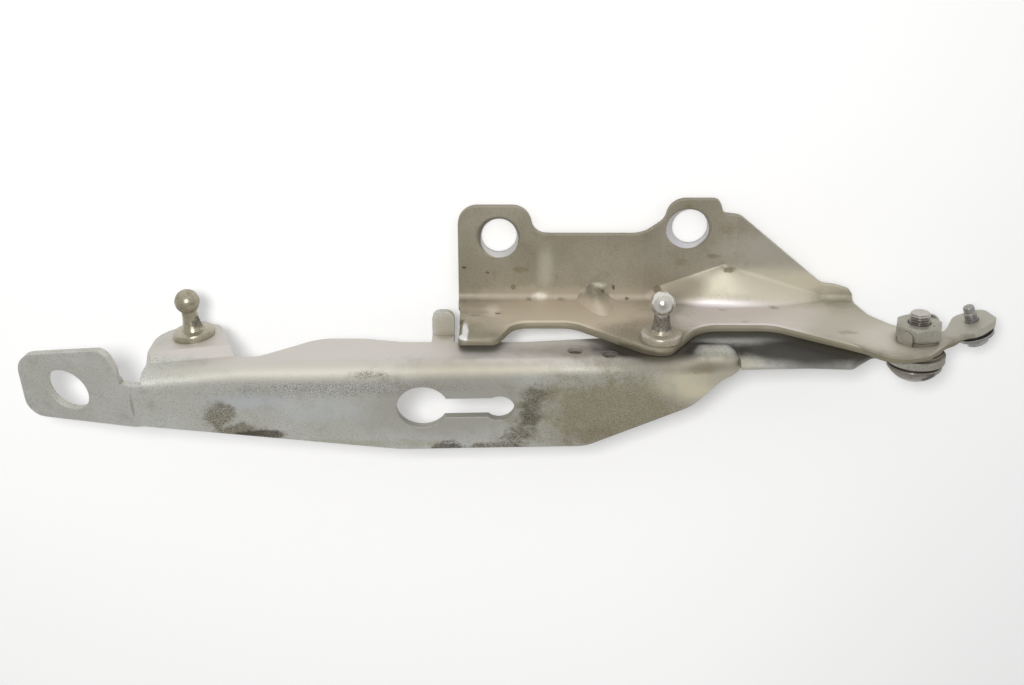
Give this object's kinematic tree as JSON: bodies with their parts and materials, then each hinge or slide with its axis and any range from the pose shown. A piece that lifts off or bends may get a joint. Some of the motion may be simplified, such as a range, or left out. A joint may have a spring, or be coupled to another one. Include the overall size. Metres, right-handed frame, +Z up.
{
  "type": "bonnet hinge",
  "caption": "Car bonnet hinge pressed from thick sheet: a long bent arm turns on a shouldered pivot bolt in a body bracket, with ball studs for a gas strut.",
  "frame": {"origin": "midway between the two body bolt holes, on the underside of the bracket flange that meets the body", "axes": "+X to the rear of the car along the hinge, +Y to the outside of the car along the pivot axis, +Z up, away from the body"},
  "size_m": [0.391, 0.0904, 0.0622],
  "materials": {
    "arm_steel": "satin cool grey coating, worn bright along the folds, stained olive and rust brown",
    "bracket_steel": "satin warm taupe coating, scuffed to bare metal on the raised places",
    "zinc_fastener": "dull zinc plating with grime",
    "bright_ball": "polished ball, tarnished collar",
    "bush_bronze": "dull bronze, greasy",
    "black_rubber": "matt black"
  },
  "bodies": {
    "bracket": {"body_bracket": "bracket_steel", "pivot_bolt": "zinc_fastener", "pivot_nut": "zinc_fastener", "lock_washer": "zinc_fastener", "thrust_washer": "zinc_fastener", "head_washer": "zinc_fastener", "bracket_ball_stud": "bright_ball", "ear_screw": "zinc_fastener", "ear_steel_washer": "zinc_fastener", "ear_rubber_washer": "black_rubber"},
    "arm": {"bonnet_arm": "arm_steel", "pivot_bush": "bush_bronze", "arm_ball_stud": "bright_ball"}
  },
  "joints": [
    {"name": "bonnet_pivot", "type": "hinge", "parent": "bracket", "child": "arm", "pos_m": [0.126, -0.034, 0.0448], "axis": [0, 1, 0], "range_deg": [0, 60]}
  ]
}
